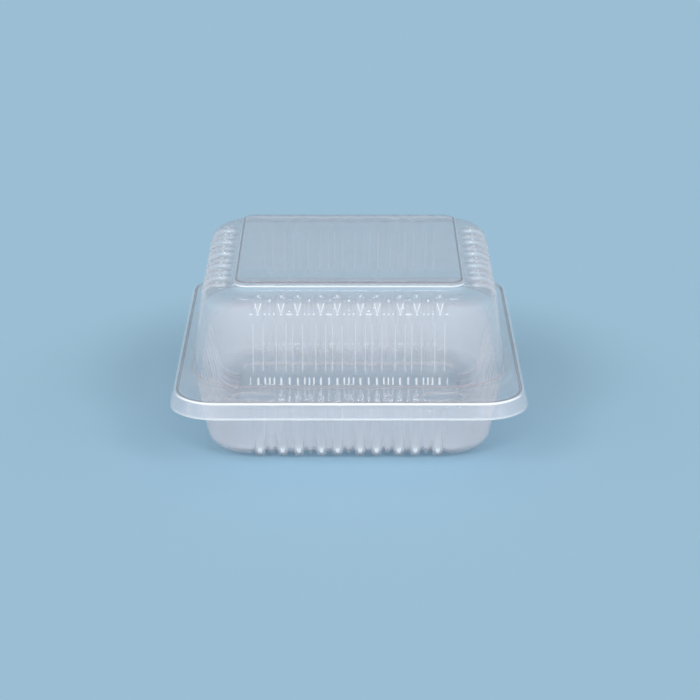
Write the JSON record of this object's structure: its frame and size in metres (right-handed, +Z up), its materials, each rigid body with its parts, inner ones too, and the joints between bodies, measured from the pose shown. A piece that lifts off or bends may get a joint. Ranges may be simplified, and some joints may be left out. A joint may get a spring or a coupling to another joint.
{
  "type": "hinged clamshell food pack",
  "caption": "Square clear plastic clamshell food pack, shown closed, with ribbed tapered sides, a raised lid panel, flanged rims and snap locks; the lid opens on a rear living hinge.",
  "frame": {"origin": "middle of the closed pack's footprint, on the surface that it stands on", "axes": "+Z up; -Y is the front, with the two snap locks; +Y is the back, with the hinge; +X is the right side seen from the front"},
  "size_m": [0.1502, 0.1617, 0.0766],
  "materials": {
    "clear_sheet": "glossy clear"
  },
  "bodies": {
    "base": {"base_tray": "clear_sheet"},
    "cover": {"lid": "clear_sheet"}
  },
  "joints": [
    {"name": "lid_hinge", "type": "hinge", "parent": "base", "child": "cover", "pos_m": [0, 0.0808, 0.0363], "axis": [-1, 0, 0], "range_deg": [0, 170]}
  ]
}
